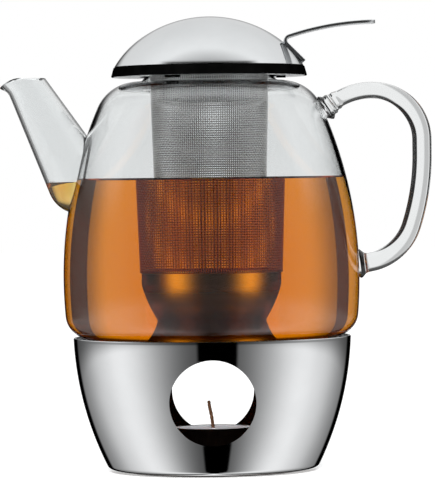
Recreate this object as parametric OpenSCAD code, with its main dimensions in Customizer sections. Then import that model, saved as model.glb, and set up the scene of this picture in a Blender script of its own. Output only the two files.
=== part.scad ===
// Glass teapot with a hanging strainer, a domed steel lid and a tealight warmer.
// Millimetres, +Z up. The origin is the centre of the warmer's foot on the table,
// the spout points to -X and the handle to +X.

/* [Warmer] */
// Height of the warmer's rim above the table
warmer_h = 63; // [60:0.5:70]
// Outer radius of the warmer at its rim
warmer_rim_r = 65.6; // [64:0.1:70]
// Radius at which the warmer's side has turned in to its flat underside
warmer_foot_r = 46.8; // [45:0.1:52]
// Radius of the long curve of the warmer's side
warmer_side_r = 150; // [120:1:220]
// Radius of the rounded foot corner of the warmer
warmer_corner_r = 4; // [3:0.1:6]
// Sheet thickness of the warmer's steel shell
warmer_wall = 1.2; // [0.8:0.1:1.6]
// Gap between the table and the shell's underside
warmer_foot_gap = 0.9; // [0.6:0.1:2]
// Width of the flat lip under the shell that carries the base plate
warmer_lip_w = 3.6; // [2.5:0.1:5]
// Diameter of the round window in the front and the back
window_d = 40; // [30:0.5:42]
// Height of the windows' centre above the table
window_z = 35; // [32:0.5:38]

/* [Warmer insert] */
// Depth of the pot rest below the warmer's rim
rest_drop = 4.5; // [4:0.1:7]
// Sheet thickness of the base plate, the pot rest and the tealight dish
insert_t = 1; // [0.6:0.1:1.4]
// Radius of the silicone foot pad
foot_pad_r = 41; // [30:0.5:42]
// Radius of the pot rest's heat opening
rest_hole_r = 33; // [24:0.5:35]
// Height of the pot rest's upturned edge
rest_flange_h = 3; // [2:0.1:3.5]
// Number of vent slots round the pot rest
rest_vents = 8; // [4:1:12]
// Width of one vent slot
rest_vent_w = 5; // [3:0.1:8]
// Number of silicone pads under the pot
rest_pads_n = 4; // [3:1:6]
// Radius of one silicone pad
rest_pad_r = 3.6; // [3:0.1:4.4]
// Height of one silicone pad above the pot rest
rest_pad_h = 1.2; // [0.8:0.1:2]
// Radius of the circle on which the silicone pads sit
rest_pad_ring_r = 40.5; // [40:0.5:43]
// Height of the tealight dish's wall above the base plate
dish_h = 4; // [3:0.1:8]

/* [Tealight] */
// Outer radius of the tealight's metal cup
tealight_r = 18.4; // [17:0.1:19.2]
// Height of the tealight's metal cup
tealight_h = 16.6; // [12:0.1:18]
// Wall of the metal cup
tealight_wall = 0.4; // [0.3:0.05:0.6]
// Depth of the wax below the cup's edge
wax_drop = 0.6; // [0.3:0.1:2]
// Radius of the wick
wick_r = 0.9; // [0.7:0.05:1.2]
// Free length of the wick above the wax
wick_free = 13; // [8:0.5:14]
// Lean of the free wick from upright
wick_lean = 8; // [0:1:15]
// Radius of the tin disc that holds the wick
sustainer_r = 6.5; // [5:0.1:9]

/* [Glass pot] */
// Largest outer radius of the pot
belly_r = 70; // [69:0.1:72]
// Height of the largest radius above the pot's base
belly_up = 31.5; // [29:0.5:36]
// Radius of the belly's long curve
belly_curve_r = 200; // [170:1:260]
// Height of the shoulder's top above the pot's base
shoulder_up = 124.5; // [120:0.5:132]
// Radius of the shoulder's round
shoulder_r = 20.5; // [17:0.1:23]
// Radius of the round between the side and the base
base_corner_r = 11.5; // [10:0.1:13]
// Height of the lowest point of that round above the pot's base
base_corner_up = 3.5; // [3:0.1:5]
// Slope of the glass between that round and the base, in degrees
base_slope = 20; // [16:1:26]
// Wall of the glass
glass_wall = 2; // [1.6:0.1:2.4]
// Thickness of the pot's glass floor
glass_floor = 2.6; // [2:0.1:3.2]
// Height of the pushed-up middle of the base
base_push = 1.4; // [0.8:0.1:2]
// Radius of the pushed-up middle of the base
base_push_r = 34; // [28:0.5:36]
// Outer radius of the neck
neck_r = 30.4; // [30:0.1:31]
// Height of the neck above the top of the shoulder
neck_h = 5.5; // [5:0.1:7]
// Radius of the hollow fillet between neck and shoulder
neck_fillet_r = 3.2; // [2.4:0.1:3.6]

/* [Spout] */
// Outer radius of the spout at its mouth, across its axis
spout_mouth_r = 8.8; // [8:0.1:10]
// Distance of the mouth's centre from the pot's axis
spout_reach = 88.2; // [84:0.1:92]
// Height of the spout's mouth above the pot's base
spout_up = 126.8; // [122:0.1:130]
// Lean of the spout from upright
spout_lean = 28.5; // [26:0.5:31]
// Half angle of the spout's taper
spout_taper = 6.9; // [5:0.1:7.5]
// Drop from the mouth to the centre of the spout's round root
spout_drop = 49; // [45:0.5:52]
// Wall of the spout
spout_wall = 1.8; // [1.4:0.1:2.2]
// Radius of the rolled bead under the pouring edge
spout_bead_r = 1.3; // [1:0.1:1.6]
// Angle that the rolled bead covers round the mouth
spout_bead_arc = 120; // [80:5:150]

/* [Handle] */
// Diameter of the glass rod of the handle
handle_d = 9.2; // [8:0.1:10.5]
// Height of the handle's lower joint above the pot's base
handle_low_up = 38; // [34:0.1:42]
// Rise of the rod where it leaves the lower joint, in degrees
handle_start_angle = 6; // [0:1:12]
// Straight run of the rod outside the lower joint
handle_start_run = 3.4; // [3:0.1:7]
// Radius of the handle's lower bend
handle_low_bend_r = 25.5; // [22:0.5:28]
// Radius of the handle's long back
handle_back_r = 110; // [95:1:150]
// Angle of the handle's long back
handle_back_angle = 18; // [14:1:21]
// Straight run between the back and the upper bend
handle_back_run = 6.6; // [4:0.1:9]
// Radius of the handle's upper bend
handle_top_bend_r = 23.5; // [22:0.5:26]
// Radius of the arch that falls to the shoulder
handle_arch_r = 32.5; // [28:0.5:40]
// Angle of the arch that falls to the shoulder
handle_arch_angle = 36; // [32:1:39]
// Diameter of the fused glass buttons at the handle's two ends
handle_button_d = 14; // [12:0.1:16]
// Height of the fused glass buttons above the pot's wall
handle_button_h = 2.4; // [1.6:0.1:3]

/* [Strainer] */
// Running gap between the strainer and the pot's neck
strainer_gap = 0.5; // [0.4:0.05:0.8]
// Outer radius of the strainer's wire mesh at its lower end
mesh_low_r = 25.4; // [24:0.1:26.5]
// Height of the mesh's lower end above the pot's base
mesh_low_up = 32.5; // [30:0.5:40]
// Thickness of the wire mesh
mesh_t = 0.6; // [0.4:0.05:0.8]
// Length over which the mesh laps the collar above
collar_h = 13; // [8:0.5:16]
// Length over which the mesh laps the bowl below
seam_h = 3; // [2:0.1:4]
// Sheet thickness of the strainer's collar and bowl
strainer_t = 0.6; // [0.4:0.05:0.8]
// Width by which the collar's flange reaches over the pot's neck
flange_over = 0.9; // [0.6:0.1:1.2]
// Thickness of the collar's flange
flange_t = 0.8; // [0.6:0.1:1.2]
// Radius at the bottom of the bowl's tapered side
bowl_low_r = 17.4; // [15:0.1:19]
// Height of the bowl's underside above the pot's base
bowl_low_up = 7; // [6:0.5:10]
// Radius of the bowl's bulging side
bowl_side_r = 60; // [45:1:200]
// Radius of the round at the bowl's bottom edge
bowl_corner_r = 5; // [4:0.1:7]
// Height of the upright part of the bowl below the mesh
bowl_band_h = 3.5; // [2:0.1:6]

/* [Lid] */
// Outer radius of the dome at its edge
dome_r = 44.9; // [43:0.1:46]
// Height of the dome above its edge
dome_h = 23.7; // [22:0.1:27]
// Radius by which the dome's crown is flatter than one sphere over its edge
crown_more_r = 1.9; // [0.5:0.1:20]
// Radius by which the dome's side is rounder than that sphere
side_less_r = 10.1; // [4:0.1:14]
// Sheet thickness of the dome and the liner
lid_t = 0.8; // [0.6:0.1:1]
// Depth of the liner's underside below the centre of the neck's fillet
liner_drop = 1; // [0:0.1:1.6]
// Height of the black silicone rim band
band_h = 4.6; // [4:0.1:5.5]
// Width by which the band flares out below the dome
band_flare = 1.5; // [1:0.1:3]
// Depth of the silicone band behind the dome's edge
band_w = 1.8; // [1.4:0.1:2.4]
// Thickness of the inner seal that rests on the strainer
seal_t = 1.3; // [1:0.1:1.8]
// Width by which the seal reaches inside the strainer's mouth
seal_in = 3; // [1:0.1:5]
// Thickness of the seal's skirt round the neck
skirt_t = 1.1; // [0.8:0.1:1.4]
// Gap between the seal's skirt and the strainer's flange
skirt_gap = 0.4; // [0.3:0.05:0.6]
// Number of locating tabs under the lid
tabs_n = 3; // [2:1:4]
// Reach of one locating tab beyond the skirt
tab_out = 3.4; // [2:0.1:4]
// Width of one locating tab
tab_w = 6; // [4:0.1:9]
// Thickness of one locating tab
tab_t = 0.9; // [0.7:0.1:1.1]

/* [Lever] */
// Thickness of the lever's steel strip
lever_t = 1.6; // [1.2:0.1:2]
// Width of the lever's strip
lever_w = 14; // [10:0.5:18]
// Distance by which the lever's leg ends outside the dome's edge
lever_foot_out = 0.1; // [0:0.1:1.5]
// Height of the lever's leg end above the dome's edge
lever_foot_up = 2; // [1.4:0.1:3]
// Length of the lever's leg along the dome
lever_leg = 11.4; // [9:0.1:13]
// Slope of the lever's leg, in degrees from level
lever_leg_slope = 45; // [42:1:52]
// Radius of the tight bend between leg and arm, at the strip's middle
lever_bend_r = 2.3; // [2:0.1:3]
// Slope of the arm where it leaves the bend
lever_arm_slope = 18; // [14:1:22]
// Radius of the arm's long curve
lever_arm_r = 132; // [110:1:150]
// Corner radius at the lever's tip
lever_tip_r = 4; // [2:0.1:6]

/* [Hidden] */

$fn = 96;
over = 1;          // how far cutting shapes run past what they cut
seat_gap = 0.03;   // hairline between sheet parts pressed together
far = 200;         // larger than any piece, for half-space cuts

// ---- plane geometry: points are [radius, height] ----
function turn(c, r, a) = [c[0] + r * cos(a), c[1] + r * sin(a)];
function arc(c, r, a0, a1, n) = [for (i = [0:n]) turn(c, r, a0 + (a1 - a0) * i / n)];
function angle_of(c, p) = atan2(p[1] - c[1], p[0] - c[0]);
function reverse(l) = [for (i = [len(l) - 1:-1:0]) l[i]];
// Centre that lies da from a and db from b, on the left of the way from a to b
function meet(a, da, b, db) =
    let (d = norm(b - a), u = (b - a) / d, s = (da * da - db * db + d * d) / (2 * d))
    a + s * u + sqrt(da * da - s * s) * [-u[1], u[0]];

// ---- warmer ----
shell_corner = [warmer_foot_r, warmer_foot_gap + warmer_corner_r];
shell_rim = [warmer_rim_r, warmer_h];
shell_c = meet(shell_corner, warmer_side_r - warmer_corner_r, shell_rim, warmer_side_r);
shell_a0 = angle_of(shell_c, shell_corner);
shell_a1 = angle_of(shell_c, shell_rim);
function shell_in_r(z) = shell_c[0] + sqrt(pow(warmer_side_r - warmer_wall, 2) - pow(z - shell_c[1], 2));
lip_in_r = warmer_foot_r - warmer_lip_w;
plate_z = warmer_foot_gap + warmer_wall;
floor_z = plate_z + insert_t;
dish_floor_z = floor_z + insert_t;

// ---- pot ----
rest_top_z = warmer_h - rest_drop;
pot_z = rest_top_z + rest_pad_h;
belly_c = [belly_r - belly_curve_r, pot_z + belly_up];
shoulder_top = pot_z + shoulder_up;
shoulder_z = shoulder_top - shoulder_r;
base_corner_z = pot_z + base_corner_up + base_corner_r;
// Centre of a round of radius r at height z that the belly's curve runs into
function belly_round(r, z) =
    [belly_c[0] + sqrt(pow(belly_curve_r - r, 2) - pow(z - belly_c[1], 2)), z];
shoulder_c = belly_round(shoulder_r, shoulder_z);
base_c = belly_round(base_corner_r, base_corner_z);
fillet_x = neck_r + neck_fillet_r;
fillet_c = [fillet_x, shoulder_z
    + sqrt(pow(shoulder_r + neck_fillet_r, 2) - pow(fillet_x - shoulder_c[0], 2))];
neck_top = shoulder_top + neck_h;
neck_in_r = neck_r - glass_wall;
floor_top = pot_z + glass_floor;
// Pot outline from the edge of its base up to the neck, w inside the outer surface
function pot_side(w, foot_z) =
    let (
        a_low = base_slope - 90,
        low = turn(base_c, base_corner_r - w, a_low),
        foot = [low[0] - (low[1] - foot_z) / tan(base_slope), foot_z],
        a_base = angle_of(belly_c, base_c),
        a_top = angle_of(belly_c, shoulder_c),
        a_neck = angle_of(shoulder_c, fillet_c)
    )
    concat(
        [foot],
        arc(base_c, base_corner_r - w, a_low, a_base, 12),
        arc(belly_c, belly_curve_r - w, a_base, a_top, 24),
        arc(shoulder_c, shoulder_r - w, a_top, a_neck, 14),
        arc(fillet_c, neck_fillet_r + w, a_neck - 180, -180, 8),
        [[neck_r - w, neck_top]]
    );
// Outer radius of the pot's belly at a height
function belly_at(z) = belly_c[0] + sqrt(pow(belly_curve_r, 2) - pow(z - belly_c[1], 2));

// ---- spout: its axis leans to -X and ends at the mouth ----
spout_top = pot_z + spout_up;
spout_len = spout_drop / cos(spout_lean);
spout_root_r = (spout_mouth_r + spout_len * tan(spout_taper)) * cos(spout_taper);

// ---- strainer ----
mesh_top_r = neck_in_r - strainer_gap;
mesh_low_z = pot_z + mesh_low_up;
collar_z = neck_top - collar_h;
bowl_z = pot_z + bowl_low_up;
flange_r = neck_r + flange_over;
flange_z = neck_top + flange_t;

// ---- lid, from the seal up ----
seal_top = flange_z + seal_t;
skirt_in_r = flange_r + skirt_gap;
skirt_r = skirt_in_r + skirt_t;
hat_r = skirt_r + lid_t;
liner_z = fillet_c[1] - liner_drop;
band_top = liner_z + band_h;
dome_sphere_r = (pow(dome_r, 2) + pow(dome_h, 2)) / (2 * dome_h);
crown_r = dome_sphere_r + crown_more_r;
dome_side_r = dome_sphere_r - side_less_r;
dome_c = [0, band_top + dome_h - crown_r];
dome_edge = [dome_r, band_top];
dome_side_c = meet(dome_c, crown_r - dome_side_r, dome_edge, dome_side_r);
dome_side_a1 = angle_of(dome_c, dome_side_c);
// Dome outline from its level edge to its crown, w inside the outer surface
function dome_line(w) = concat(
    arc(dome_side_c, dome_side_r - w, asin((band_top - dome_side_c[1]) / (dome_side_r - w)), dome_side_a1, 16),
    arc(dome_c, crown_r - w, dome_side_a1, 88, 7),
    [[0, dome_c[1] + crown_r - w]]
);

// ---- paths in the X-Z plane, as steps of [radius, turn] or [0, length] ----
function step(s, q) = q[0] == 0
    ? [s[0] + q[1] * cos(s[2]), s[1] + q[1] * sin(s[2]), s[2]]
    : let (k = q[1] < 0 ? -1 : 1, c = turn(s, q[0], s[2] + 90 * k), e = turn(c, q[0], s[2] + q[1] - 90 * k))
      [e[0], e[1], s[2] + q[1]];
function walk(s, steps, i = 0) = i == len(steps) ? [s] : concat([s], walk(step(s, steps[i]), steps, i + 1));

handle_low_z = pot_z + handle_low_up;
handle_in = 8;     // how far the rod's path starts and ends inside the pot's outline
handle_start = [belly_at(handle_low_z) - handle_in, handle_low_z - handle_in * sin(handle_start_angle),
    handle_start_angle];
handle_steps = [
    [0, handle_in + handle_start_run],
    [handle_low_bend_r, 90 - handle_start_angle - handle_back_angle],
    [handle_back_r, handle_back_angle],
    [0, handle_back_run],
    [handle_top_bend_r, 90],
    [handle_arch_r, handle_arch_angle],
    [0, handle_in]
];
// The same steps with each bend cut into short turns
handle_turns = [
    for (q = handle_steps)
        let (n = q[0] == 0 ? 1 : ceil(q[1] / 7))
        each [for (i = [1:n]) [q[0], q[1] / n]]
];
handle_path = walk(handle_start, handle_turns);

lever_steps = [
    [0, lever_leg],
    [lever_bend_r, lever_arm_slope - (180 - lever_leg_slope)],
    [lever_arm_r, -lever_arm_slope]
];
lever_start = [dome_r + lever_foot_out, band_top + lever_foot_up, 180 - lever_leg_slope];
lever_path = walk(lever_start, lever_steps);
lever_tip_x = lever_path[3][0];

steel = [0.78, 0.79, 0.80];
satin = [0.70, 0.72, 0.73];
clear = [0.80, 0.88, 0.90, 0.35];
black = [0.06, 0.06, 0.07];

module lathe(points) {
    rotate_extrude() polygon(points);
}

module ring(r_in, r_out, z0, z1) {
    translate([0, 0, z0])
        difference() {
            cylinder(r = r_out, h = z1 - z0);
            translate([0, 0, -over]) cylinder(r = r_in, h = z1 - z0 + 2 * over);
        }
}

// ---- warmer pieces ----
module foot_pad() {
    color(black) cylinder(r = foot_pad_r, h = plate_z);
}

module base_plate() {
    color(satin) translate([0, 0, plate_z]) cylinder(r = warmer_foot_r, h = insert_t);
}

module warmer_shell() {
    in_r = warmer_corner_r - warmer_wall;
    color(steel)
        difference() {
            lathe(concat(
                [[lip_in_r, warmer_foot_gap]],
                arc(shell_corner, warmer_corner_r, -90, shell_a0, 8),
                arc(shell_c, warmer_side_r, shell_a0, shell_a1, 20),
                reverse(arc(shell_c, warmer_side_r - warmer_wall, shell_a0, shell_a1, 20)),
                reverse(arc(shell_corner, in_r, -90, shell_a0, 8)),
                [[lip_in_r, plate_z]]
            ));
            translate([0, 0, window_z])
                rotate([90, 0, 0])
                    cylinder(d = window_d, h = 2 * far, center = true);
        }
}

module pot_rest() {
    z0 = rest_top_z - insert_t;
    z1 = rest_top_z + rest_flange_h;
    r0 = shell_in_r(z0) - seat_gap;
    r1 = shell_in_r(z1) - seat_gap;
    vent_r = (rest_pad_ring_r + rest_pad_r + r0 - insert_t) / 2;
    vent_len = r0 - insert_t - rest_pad_ring_r - rest_pad_r;
    color(satin)
        difference() {
            lathe([
                [rest_hole_r, z0],
                [r0, z0],
                [r1, z1],
                [r1 - insert_t, z1],
                [r0 - insert_t, rest_top_z],
                [rest_hole_r, rest_top_z]
            ]);
            for (i = [0:rest_pads_n - 1])
                rotate(45 + 360 * i / rest_pads_n)
                    translate([rest_pad_ring_r, 0, z0 - over])
                        cylinder(r = rest_pad_r / 2, h = insert_t + 2 * over);
            for (i = [0:rest_vents - 1])
                rotate(22.5 + 360 * i / rest_vents)
                    translate([vent_r, 0, rest_top_z - insert_t / 2])
                        cube([vent_len * 0.6, rest_vent_w, insert_t + 2 * over], center = true);
        }
}

module rest_pads() {
    stem = insert_t + 1;
    color(black)
        for (i = [0:rest_pads_n - 1])
            rotate(45 + 360 * i / rest_pads_n)
                translate([rest_pad_ring_r, 0, 0]) {
                    translate([0, 0, rest_top_z]) cylinder(r = rest_pad_r, h = rest_pad_h);
                    translate([0, 0, rest_top_z - stem]) cylinder(r = rest_pad_r / 2 - seat_gap, h = stem);
                }
}

module tealight_dish() {
    dish_in_r = tealight_r + 0.6;
    dish_r = dish_in_r + insert_t;
    color(satin)
        difference() {
            translate([0, 0, floor_z]) cylinder(r = dish_r, h = dish_h);
            translate([0, 0, dish_floor_z]) cylinder(r = dish_in_r, h = dish_h);
        }
}

// ---- tealight pieces ----
cup_in_z = dish_floor_z + tealight_wall;
wax_z = dish_floor_z + tealight_h - wax_drop;
sustainer_t = 0.4;
sustainer_neck_r = wick_r + 0.5;
sustainer_neck_h = 5;

module tealight_cup() {
    color("silver")
        difference() {
            translate([0, 0, dish_floor_z]) cylinder(r = tealight_r, h = tealight_h);
            translate([0, 0, cup_in_z]) cylinder(r = tealight_r - tealight_wall, h = tealight_h);
        }
}

module tealight_wax() {
    color([0.86, 0.85, 0.88])
        difference() {
            translate([0, 0, cup_in_z]) cylinder(r = tealight_r - tealight_wall, h = wax_z - cup_in_z);
            translate([0, 0, cup_in_z - over]) cylinder(r = wick_r, h = far);
            translate([0, 0, cup_in_z - over]) cylinder(r = sustainer_r, h = sustainer_t + over);
            translate([0, 0, cup_in_z - over]) cylinder(r = sustainer_neck_r, h = sustainer_neck_h + over);
        }
}

module tealight_wick() {
    color([0.28, 0.16, 0.09]) {
        translate([0, 0, cup_in_z]) cylinder(r = wick_r, h = wax_z - cup_in_z);
        translate([0, 0, wax_z])
            rotate([0, -wick_lean, 0])
                translate([0, 0, -wick_r / 2]) cylinder(r = wick_r * 0.8, h = wick_free + wick_r / 2);
    }
}

module wick_sustainer() {
    color("silver")
        difference() {
            union() {
                translate([0, 0, cup_in_z]) cylinder(r = sustainer_r, h = sustainer_t);
                translate([0, 0, cup_in_z]) cylinder(r = sustainer_neck_r, h = sustainer_neck_h);
            }
            translate([0, 0, cup_in_z - over]) cylinder(r = wick_r, h = sustainer_neck_h + 2 * over);
        }
}

// ---- glass pieces ----
module pot_outline_solid() {
    lathe(concat([[0, pot_z]], pot_side(0, pot_z), [[0, neck_top]]));
}

// The spout's solid of taper and round root, w inside its outer surface
module spout_form(w) {
    translate([-spout_reach, 0, spout_top])
        rotate([0, 180 - spout_lean, 0]) {
            translate([0, 0, -spout_mouth_r * 2])
                cylinder(
                    r1 = spout_mouth_r - w - 2 * spout_mouth_r * tan(spout_taper),
                    r2 = spout_mouth_r - w + (spout_len - spout_root_r * sin(spout_taper)) * tan(spout_taper),
                    h = spout_len + spout_mouth_r * 2 - spout_root_r * sin(spout_taper)
                );
            translate([0, 0, spout_len]) sphere(r = spout_root_r - w);
        }
}

module glass_body() {
    color(clear)
        difference() {
            lathe(concat(
                [[0, pot_z + base_push], [base_push_r, pot_z + base_push], [base_push_r + base_push, pot_z]],
                pot_side(0, pot_z),
                reverse(pot_side(glass_wall, floor_top)),
                [[0, floor_top]]
            ));
            difference() {
                spout_form(spout_wall);
                cylinder(r = belly_r / 2, h = far);
            }
        }
}

module glass_spout() {
    color(clear) {
        difference() {
            spout_form(0);
            spout_form(spout_wall);
            pot_outline_solid();
            translate([-far, -far / 2, spout_top]) cube([far, far, far]);
        }
        translate([-spout_reach, 0, spout_top - spout_bead_r])
            rotate(180 - spout_bead_arc / 2)
                rotate_extrude(angle = spout_bead_arc)
                    translate([spout_mouth_r / cos(spout_lean) - 0.1, 0])
                        circle(r = spout_bead_r, $fn = 24);
    }
}

// A round rod along a walked path, one ring of points for each station
module rod(path, d) {
    n = 20;
    m = len(path);
    points = [
        for (s = path, j = [0:n - 1])
            let (k = d / 2 * cos(360 * j / n))
            [s[0] - k * sin(s[2]), d / 2 * sin(360 * j / n), s[1] + k * cos(s[2])]
    ];
    sides = [
        for (i = [0:m - 2], j = [0:n - 1])
            let (a = i * n + j, b = i * n + (j + 1) % n)
            each [[a, b, a + n], [b, b + n, a + n]]
    ];
    ends = [[for (j = [n - 1:-1:0]) j], [for (j = [0:n - 1]) (m - 1) * n + j]];
    polyhedron(points, concat(sides, ends));
}

module glass_handle() {
    last = len(handle_path) - 1;
    tail = handle_path[last];
    color(clear)
        difference() {
            union() {
                rod(handle_path, handle_d);
                handle_button(handle_path[0]);
                handle_button([tail[0], tail[1], tail[2] - 180]);
            }
            pot_outline_solid();
        }
}

// A fused button round the rod's end, from the station s outwards
module handle_button(s) {
    translate([s[0], 0, s[1]])
        rotate([0, 90 - s[2], 0])
            cylinder(d = handle_button_d, h = handle_in + handle_button_h);
}

// ---- strainer pieces ----
module strainer_collar() {
    r = mesh_top_r - mesh_t - seat_gap;
    color(satin) {
        ring(r - strainer_t, r, collar_z, flange_z);
        ring(r - strainer_t, flange_r, neck_top, flange_z);
    }
}

module strainer_mesh() {
    top = neck_top - seat_gap;
    color([0.55, 0.56, 0.57])
        lathe([
            [mesh_low_r - mesh_t, mesh_low_z],
            [mesh_low_r, mesh_low_z],
            [mesh_low_r, mesh_low_z + seam_h],
            [mesh_top_r, collar_z],
            [mesh_top_r, top],
            [mesh_top_r - mesh_t, top],
            [mesh_top_r - mesh_t, collar_z],
            [mesh_low_r - mesh_t, mesh_low_z + seam_h]
        ]);
}

module strainer_bowl() {
    t = strainer_t;
    rim_r = mesh_low_r - mesh_t - seat_gap;
    band_z = mesh_low_z - bowl_band_h;
    corner_c = [bowl_low_r - bowl_corner_r, bowl_z + bowl_corner_r];
    side_c = meet(corner_c, bowl_side_r - bowl_corner_r, [rim_r, band_z], bowl_side_r);
    low_a = angle_of(side_c, corner_c);
    top_a = angle_of(side_c, [rim_r, band_z]);
    in_top_a = acos((rim_r - t - side_c[0]) / (bowl_side_r - t));
    color(steel)
        lathe(concat(
            [[0, bowl_z]],
            arc(corner_c, bowl_corner_r, -90, low_a, 8),
            arc(side_c, bowl_side_r, low_a, top_a, 6),
            [[rim_r, mesh_low_z + seam_h], [rim_r - t, mesh_low_z + seam_h]],
            reverse(arc(side_c, bowl_side_r - t, low_a, -in_top_a, 6)),
            reverse(arc(corner_c, bowl_corner_r - t, -90, low_a, 8)),
            [[0, bowl_z + t]]
        ));
}

// ---- lid pieces ----
module dome_outline_solid() {
    lathe(concat([[0, band_top]], dome_line(0)));
}

module lid_dome() {
    color(satin)
        lathe(concat(dome_line(0), reverse(dome_line(lid_t))));
}

module lid_liner() {
    color(steel)
        lathe([
            [skirt_r + seat_gap, liner_z],
            [dome_r + band_w / 4, liner_z],
            [dome_r + band_w / 4, liner_z + lid_t],
            [hat_r, liner_z + lid_t],
            [hat_r, seal_top + lid_t],
            [0, seal_top + lid_t],
            [0, seal_top],
            [skirt_r + seat_gap, seal_top]
        ]);
}

module lid_band() {
    in_r = dome_r - band_w;
    lip_r = dome_r + band_w / 4 + seat_gap;
    color(black)
        lathe([
            [in_r, liner_z + lid_t],
            [lip_r, liner_z + lid_t],
            [lip_r, liner_z],
            [dome_r + band_flare, liner_z],
            [dome_r + 0.2, band_top],
            [in_r, band_top]
        ]);
}

module lid_seal() {
    tab_z = liner_z - tab_t;
    root = skirt_t / 5;
    color(black) {
        lathe([
            [skirt_in_r, liner_z],
            [skirt_r, liner_z],
            [skirt_r, seal_top],
            [mesh_top_r - seal_in, seal_top],
            [mesh_top_r - seal_in, flange_z],
            [skirt_in_r, flange_z]
        ]);
        for (i = [0:tabs_n - 1])
            rotate(360 * i / tabs_n)
                intersection() {
                    lathe([
                        [skirt_in_r + root, tab_z],
                        [skirt_r + tab_out, tab_z],
                        [skirt_r + tab_out, liner_z],
                        [skirt_r - root, liner_z],
                        [skirt_r - root, liner_z + tab_t],
                        [skirt_in_r + root, liner_z + tab_t]
                    ]);
                    translate([0, -tab_w / 2, tab_z]) cube([far, tab_w, 2 * tab_t]);
                }
    }
}

// The strip's edge, side k away from its middle line, along the lever's path
function lever_side(k) = concat(
    [turn(lever_path[0], k * lever_t / 2, lever_path[0][2] + 90)],
    [let (c = turn(lever_path[1], lever_bend_r, lever_path[1][2] - 90))
        for (p = arc(c, lever_bend_r + k * lever_t / 2, lever_path[1][2] + 90, lever_path[2][2] + 90, 12)) p],
    [let (c = turn(lever_path[2], lever_arm_r, lever_path[2][2] - 90))
        for (p = arc(c, lever_arm_r + k * lever_t / 2, lever_path[2][2] + 90, lever_path[3][2] + 90, 14)) p]
);

module lid_lever() {
    color(steel)
        difference() {
            intersection() {
                rotate([90, 0, 0])
                    linear_extrude(height = lever_w, center = true)
                        polygon(concat(lever_side(1), reverse(lever_side(-1))));
                linear_extrude(height = 2 * far) {
                    translate([0, -lever_w / 2]) square([lever_tip_x - lever_tip_r, lever_w]);
                    translate([0, lever_tip_r - lever_w / 2])
                        square([lever_tip_x + over, lever_w - 2 * lever_tip_r]);
                    for (side = [-1, 1])
                        translate([lever_tip_x - lever_tip_r, side * (lever_w / 2 - lever_tip_r)])
                            circle(r = lever_tip_r);
                }
            }
            dome_outline_solid();
        }
}

foot_pad();
base_plate();
warmer_shell();
pot_rest();
rest_pads();
tealight_dish();
tealight_cup();
tealight_wax();
tealight_wick();
wick_sustainer();
glass_body();
glass_spout();
glass_handle();
strainer_collar();
strainer_mesh();
strainer_bowl();
lid_dome();
lid_liner();
lid_band();
lid_seal();
lid_lever();
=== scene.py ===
"""Looks of the glass teapot on its tealight warmer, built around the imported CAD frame.

Lengths are written in millimetres and become metres when a mesh is made. The spout points to -X,
the handle to +X, and the camera looks along +Y.
"""

import math

import bmesh
import bpy
from mathutils import Matrix, Vector


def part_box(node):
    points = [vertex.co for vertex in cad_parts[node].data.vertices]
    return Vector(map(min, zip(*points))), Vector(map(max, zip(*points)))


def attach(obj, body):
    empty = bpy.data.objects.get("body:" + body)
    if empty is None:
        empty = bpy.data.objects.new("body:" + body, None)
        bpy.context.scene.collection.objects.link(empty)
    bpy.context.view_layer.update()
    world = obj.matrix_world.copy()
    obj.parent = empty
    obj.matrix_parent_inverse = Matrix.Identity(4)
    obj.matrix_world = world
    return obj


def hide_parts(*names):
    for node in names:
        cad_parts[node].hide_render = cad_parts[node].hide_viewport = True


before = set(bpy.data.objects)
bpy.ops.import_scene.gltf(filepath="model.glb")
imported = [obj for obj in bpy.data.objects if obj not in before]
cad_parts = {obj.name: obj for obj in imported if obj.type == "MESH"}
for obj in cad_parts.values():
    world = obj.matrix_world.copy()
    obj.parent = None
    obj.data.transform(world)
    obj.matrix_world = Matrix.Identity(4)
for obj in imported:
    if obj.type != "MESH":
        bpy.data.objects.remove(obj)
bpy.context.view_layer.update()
MM = 0.001

# ---------------------------------------------------------------- sizes (mm)
# Most agree with the CAD source or are worked out from it. A few are this model's own: the belly's
# radius by 0.01, the handle's height, rod and last straight, the middle line of the mesh by 0.05,
# the weave and its wires, the bend of the spout's lip, and the tea.
WARMER_H = 63.0
SHELL_CORNER, SHELL_CORNER_R = (46.8, 4.9), 4.0
SHELL_SIDE, SHELL_SIDE_R = (-84.27, 69.21), 150.0
SHELL_T = 1.2
LIP_R = 43.2
WINDOW_R, WINDOW_Z = 20.0, 35.0

POT_Z = 59.7
BELLY, BELLY_R = (-130.0, 91.2), 199.99
SHOULDER, SHOULDER_R = (34.21, 163.7), 20.5
BASE, BASE_R = (57.77, 74.7), 11.5
FILLET, FILLET_R = (33.6, 187.39), 3.2
NECK_R, NECK_TOP = 30.4, 189.7
GLASS, FLOOR_TOP = 2.0, 62.3
PUSH, PUSH_R = 1.4, 34.0
BASE_SLOPE = 20.0

SPOUT_MOUTH = (-88.2, 186.5)
SPOUT_LEAN, SPOUT_TAPER = 28.5, 6.9
SPOUT_MOUTH_R, SPOUT_WALL = 8.8, 1.8
SPOUT_DROP = 49.0
LIP_FALL, LIP_REACH = 4.4, 1.4

HANDLE_UP, HANDLE_LEAN, HANDLE_ROOT = 37.4, 6.0, 3.0
HANDLE_ROD_R, HANDLE_THINNING = 4.54, 0.64
# straights are (0, length), bends are (radius, degrees)
HANDLE_ROUTE = ((0, 6.4), (25.5, 66), (110, 18), (0, 6.6), (23.5, 90), (32.5, 36), (0, 8.5))

TEA_Z = 137.3
TEA_OVERLAP = 0.12  # the tea goes this far into the glass, so that no film of air shows between them

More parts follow.
